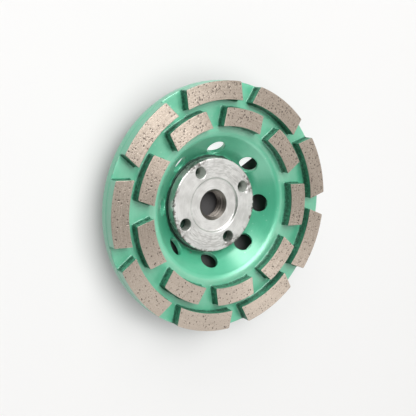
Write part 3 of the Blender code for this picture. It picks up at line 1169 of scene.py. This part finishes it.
feed(shader["Roughness"], mix_value(bare, paint_roughness, bond_roughness))
feed(shader["Metallic"], mix_value(bare, mix_value(side_dirt_and_shade, FLAKE, 0.0), BOND_METAL))
feed(shader["Coat Weight"], (1.0 - bare) * (1.0 - side_dirt_and_shade) * CLEAR_COAT)
feed(shader["Normal"], bump(mix_value(bare, enamel["Height"], bond_height)))
feed(shader["Tangent"], vector_math("MULTIPLY", object_coordinates(tree), (1.0, 1.0, 0.0))["Vector"])
shader["Anisotropic"].default_value = BOND_ANISOTROPY
shader["Coat Roughness"].default_value = CLEAR_COAT_ROUGHNESS
shader["Coat IOR"].default_value = CLEAR_COAT_IOR
for segment in segment_pieces:
    segment.data.materials.append(painted_segment)
print("finish:", painted_segment.name)

# %% [markdown]
# ## Clamping nut
#
# The nut is turned from bar: a flat flange with a shallow recess in its face, a spigot that centres
# in the wheel's bore, and an M14 thread with a 2 mm pitch. The thread is a surface whose radius
# depends on bearing and height, so the same rings that make the flange make the thread, and nothing
# has to be cut. The pin holes are cut with a Boolean, because they pass through flat faces, where it
# is exact. Their cutters flare at the mouth, as a spanner's pins wear it, and two of them lean, for
# the holes whose sides have been worn to a slope.

# %% Nut shape
NUT_STEPS = 240
NUT_LONGEST_STRIP = 0.45
THREAD_PITCH = 2.0
THREAD_MINOR_RADIUS = 5.92
THREAD_MAJOR_RADIUS = 7.0
THREAD_MOUTH_RADIUS = 7.45
THREAD_TAIL_RADIUS = 7.2
THREAD_ROW_HEIGHT = 0.125
THREAD_CREST_SHARE = 0.14
THREAD_FLANK_SHARE = 0.66


def thread_radius(bearing, height):
    """Radius of the internal thread, with its two lead-in cones."""
    turn = (height / THREAD_PITCH - bearing / math.tau) % 1.0
    flank = abs(2.0 * turn - 1.0)
    profile = min(1.0, max(0.0, (flank - THREAD_CREST_SHARE) / THREAD_FLANK_SHARE))
    threaded = THREAD_MINOR_RADIUS + (THREAD_MAJOR_RADIUS - THREAD_MINOR_RADIUS) * profile
    mouth = THREAD_MOUTH_RADIUS - (NUT_RECESS_FLOOR - height)
    tail = THREAD_TAIL_RADIUS - (height - NUT_SPIGOT_END)
    return max(threaded, mouth, tail)


nut = TurnedMesh(NUT_STEPS, 0.0)
nut_runs = rounded_section([
    (NUT_RADIUS, NUT_FACE, 0.45, 3),
    (NUT_RADIUS, NUT_BACK, 0.4, 2),
    (NUT_SPIGOT_RADIUS, NUT_BACK, 0.0, 0),
    (NUT_SPIGOT_RADIUS, NUT_SPIGOT_END, 0.5, 2),
    (THREAD_TAIL_RADIUS, NUT_SPIGOT_END, 0.0, 0),
    (THREAD_MOUTH_RADIUS, NUT_RECESS_FLOOR, 0.0, 0),
    (NUT_RECESS_RADIUS - 0.5 * NUT_RECESS_SLOPE_RUN, NUT_RECESS_FLOOR, 1.3, 6),
    (NUT_RECESS_RADIUS, NUT_FACE, 0.4, 3),
])
from_mouth_to_tail = [point for run in nut_runs[5:] + nut_runs[:5] for point in run]
mouth_ring, last = nut.sweep(from_mouth_to_tail, NUT_LONGEST_STRIP)
thread_rows = round((NUT_RECESS_FLOOR - NUT_SPIGOT_END) / THREAD_ROW_HEIGHT)
for row in range(1, thread_rows):
    height = NUT_SPIGOT_END + (NUT_RECESS_FLOOR - NUT_SPIGOT_END) * row / thread_rows
    following = [nut.vertex(thread_radius(bearing, height), bearing, height) for bearing in nut.bearings]
    stitch(nut.shell, last, following)
    last = following
stitch(nut.shell, last, mouth_ring)
print("thread rows:", thread_rows)

# %% Wear on the nut
# Years of pin spanners leave a small flat on the side and nicks along the edge. They are pushed
# into the vertices, so the outline of the nut shows them too.
# Each scuff beside a pin hole is the hole's own bearing, the way it points, its size and its depth.
SIDE_FLAT_BEARING = math.radians(245.7)
SIDE_FLAT_DISTANCE = 22.0
NICK_SEED = 5
NICK_COUNT = 15
NICK_RISE = 0.6
SCUFF_FROM_HOLE = 2.9
PIN_SCUFFS = [(180.0, 235.0, 1.1, 0.55), (90.0, 60.0, 1.6, 0.40),
              (270.0, 300.0, 1.2, 0.50), (0.0, 350.0, 1.4, 0.35)]

chance = np.random.default_rng(NICK_SEED)
flat_normal = np.array([math.cos(SIDE_FLAT_BEARING), math.sin(SIDE_FLAT_BEARING), 0.0])
nut_points = np.array([vertex.co for vertex in nut.shell.verts]) / MM
beyond = nut_points @ flat_normal - SIDE_FLAT_DISTANCE
nut_points -= np.outer(np.maximum(beyond, 0.0), flat_normal)
nicks = []
for _ in range(NICK_COUNT):
    bearing = chance.uniform(0.0, math.tau)
    size = chance.uniform(0.35, 0.75)
    stand_off = size * chance.uniform(0.45, 0.7)
    radius = NUT_RADIUS + stand_off * NICK_RISE
    nicks.append((np.array([radius * math.cos(bearing), radius * math.sin(bearing),
                            NUT_FACE + stand_off * NICK_RISE]), size))
for pin_bearing, aim, size, sunk in PIN_SCUFFS:
    bearing = PIN_HOLE_BEARING + math.radians(pin_bearing)
    aim = math.radians(aim)
    nicks.append((np.array([PIN_CIRCLE_RADIUS * math.cos(bearing) + SCUFF_FROM_HOLE * math.cos(aim),
                            PIN_CIRCLE_RADIUS * math.sin(bearing) + SCUFF_FROM_HOLE * math.sin(aim),
                            NUT_FACE + size - sunk]), size))
nick_depth = carve(nut_points, nicks)
nut_points[:, 2] = np.minimum(nut_points[:, 2], NUT_FACE)
for vertex, point in zip(nut.shell.verts, nut_points):
    vertex.co = Vector(point) * MM
clamping_nut = link_object("clamping_nut", nut.finish("clamping_nut"))
print("nicks:", NICK_COUNT, "deepest:", round(float(nick_depth.max()), 2), "mm")

# %% Pin holes
PIN_HOLES = 4
PIN_HOLE_SIDES = 56
MOUTH_FLARE = 0.35
MOUTH_STEPS = 6
CUTTER_BELOW = 3.0
CUTTER_ABOVE = 2.0
WORN_HOLES = (1, 2)
WORN_SIDE = math.radians(113.0)
WORN_DEPTH = 2.6
WORN_BY = 0.9

profile = [(PIN_HOLE_RADIUS, NUT_BACK - CUTTER_BELOW), (PIN_HOLE_RADIUS, NUT_FACE - WORN_DEPTH)]
for step in range(MOUTH_STEPS + 1):
    angle = 0.5 * math.pi * step / MOUTH_STEPS
    profile.append((PIN_HOLE_RADIUS + MOUTH_FLARE * (1.0 - math.cos(angle)),
                    NUT_FACE - MOUTH_FLARE + MOUTH_FLARE * math.sin(angle)))
profile.append((PIN_HOLE_RADIUS + MOUTH_FLARE, NUT_FACE + CUTTER_ABOVE))

cutter_shell = bmesh.new()
for index in range(PIN_HOLES):
    bearing = PIN_HOLE_BEARING + index * math.tau / PIN_HOLES
    middle = Vector((PIN_CIRCLE_RADIUS * math.cos(bearing), PIN_CIRCLE_RADIUS * math.sin(bearing), 0.0))
    rings = []
    for radius, height in profile:
        lean = 0.0
        if index in WORN_HOLES:
            lean = WORN_BY * min(1.0, max(0.0, (NUT_FACE - height) / WORN_DEPTH))
        centre = middle - lean * toward(WORN_SIDE)
        radius -= lean
        ring = []
        for side in range(PIN_HOLE_SIDES):
            angle = math.tau * side / PIN_HOLE_SIDES
            edge = centre + Vector((radius * math.cos(angle), radius * math.sin(angle), height))
            ring.append(cutter_shell.verts.new(edge * MM))
        rings.append(ring)
    cutter_shell.faces.new(list(reversed(rings[0])))
    cutter_shell.faces.new(rings[-1])
    for first, second in zip(rings, rings[1:]):
        stitch(cutter_shell, first, second)
cutter_mesh = bpy.data.meshes.new("pin_drills")
cutter_shell.to_mesh(cutter_mesh)
cutter_shell.free()
pin_drills = link_object("pin_drills", cutter_mesh)

cut = clamping_nut.modifiers.new("pin_holes", "BOOLEAN")
cut.operation = "DIFFERENCE"
cut.solver = "EXACT"
cut.object = pin_drills
bpy.context.view_layer.update()
evaluated = clamping_nut.evaluated_get(bpy.context.evaluated_depsgraph_get())
drilled_mesh = bpy.data.meshes.new_from_object(evaluated)
clamping_nut.modifiers.clear()
clamping_nut.data = drilled_mesh
bpy.data.objects.remove(pin_drills)
shade(drilled_mesh, sharpest=32.0)
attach(clamping_nut, "root")
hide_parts("flange_nut")
print("nut:", len(drilled_mesh.polygons), "faces")

# %% [markdown]
# ## Finish of the nut
#
# Zinc-plated turned steel. The face is fully metallic and dulled by use. The side is smoother, enough
# to mirror the green wall, and the pin holes hold grey dust, which is much less metallic. Turning
# marks go into both the roughness and the bump. Grime lies along the edge and round the pins, where a
# slipping spanner scrapes it outwards. The four pins give four such places, and the cosine of four
# times the angle finds them. Arcs along the pin circle on two opposite sides are darkened as painted
# shade, where the turned face mirrors less of the light.

# %% Worn zinc
ZINC_LIGHT = (0.672, 0.665, 0.646, 1.0)
ZINC_DARK = (0.390, 0.383, 0.366, 1.0)
SIDE_STEEL = (0.60, 0.60, 0.58, 1.0)
THREAD_STEEL = (0.15, 0.135, 0.12, 1.0)
GRIME = (0.07, 0.055, 0.045, 1.0)
BORE_GREY = (0.34, 0.37, 0.33, 1.0)
ARC_SHADE_STARTS = (13.6, 15.0)
ARC_SHADE_ENDS = (21.4, 19.6)

worn_zinc, tree, shader = new_material("worn_zinc")
place = use_group(tree, turned_space)
position = place["Millimetres"]
radius = place["Radius"]
marks = use_group(tree, turning_marks, spacing=0.22, persistence=3.0)["Marks"]
clouds = step_between(cloud(position, 0.16, detail=4.0), 0.35, 0.65)
zinc = mix_colour(clouds * 0.5, ZINC_LIGHT, ZINC_DARK)
zinc = mix_colour(marks * 0.30, zinc, ZINC_DARK)
edge_grime = use_group(tree, edge_wear, edge_radius=NUT_RADIUS - 0.1, edge_height=NUT_FACE,
                       reach=2.4, breakup=0.60)["Mask"]
worn_arcs = step_between(cloud(position, 0.05, detail=1.0), 0.42, 0.56)
spots = use_group(tree, specks, per_millimetre=0.8, share=0.10, size=0.22)["Mask"]
x, y, _ = split(place["Direction"])
ahead = x * math.cos(PIN_HOLE_BEARING) + y * math.sin(PIN_HOLE_BEARING)
twice = ahead * ahead * 2.0 - 1.0
four_times = twice * twice * 2.0 - 1.0
near_pins = step_between(four_times, 0.35, 0.85) * step_between(radius, NUT_RADIUS - 2.9, NUT_RADIUS - 1.6)
scraped = near_pins * step_between(cloud(position, 0.55, detail=5.0, roughness=0.7), 0.42, 0.57)
dirt = strongest(edge_grime * worn_arcs * 0.75, spots * 0.45, scraped * 0.75)
# Painted shade: arcs on two opposite sides of the pin circle are darkened.
arcs = use_group(tree, turning_marks, spacing=0.50, persistence=6.0)["Marks"]
arc_shade_band = step_between(radius, *ARC_SHADE_STARTS) * step_between(radius, *ARC_SHADE_ENDS)
shaded_arcs = arc_shade_band * step_between(abs(x), 0.45, 0.90) * step_between(arcs, 0.35, 0.75)
zinc = mix_colour(shaded_arcs * 0.70, zinc, ZINC_DARK)
on_side = step_between(radius, NUT_RADIUS - 0.25, NUT_RADIUS - 0.05)
zinc = mix_colour(on_side, zinc, SIDE_STEEL)
in_thread = step_between(radius, THREAD_MOUTH_RADIUS + 0.05, THREAD_MOUTH_RADIUS - 0.25)
zinc = mix_colour(in_thread, zinc, THREAD_STEEL)
below_face = step_between(place["Height"], NUT_FACE - 0.15, NUT_FACE - 0.6)
outside_recess = step_between(radius, NUT_RECESS_RADIUS + 0.3, NUT_RECESS_RADIUS + 0.8)
in_pin_hole = below_face * outside_recess * (1.0 - on_side)
zinc = mix_colour(in_pin_hole, zinc, BORE_GREY)
roughness = mix_value(on_side, step_between(marks, 0.0, 1.0, 0.38, 0.52), 0.32)
feed(shader["Base Color"], mix_colour(dirt, zinc, GRIME))
feed(shader["Metallic"], mix_value(in_pin_hole, mix_value(on_side, 1.0, 0.75), 0.35))
feed(shader["Roughness"], mix_value(dirt, roughness, 0.65))
feed(shader["Normal"], bump(marks * 0.020 + dirt * -0.03, strength=0.8))
clamping_nut.data.materials.clear()
clamping_nut.data.materials.append(worn_zinc)
print("finish:", worn_zinc.name)

# %% [markdown]
# ## Pieces
#
# The last cell prints how many pieces the dressed wheel has.

# %% Number of pieces
print("pieces:", len(segment_pieces) + 2)
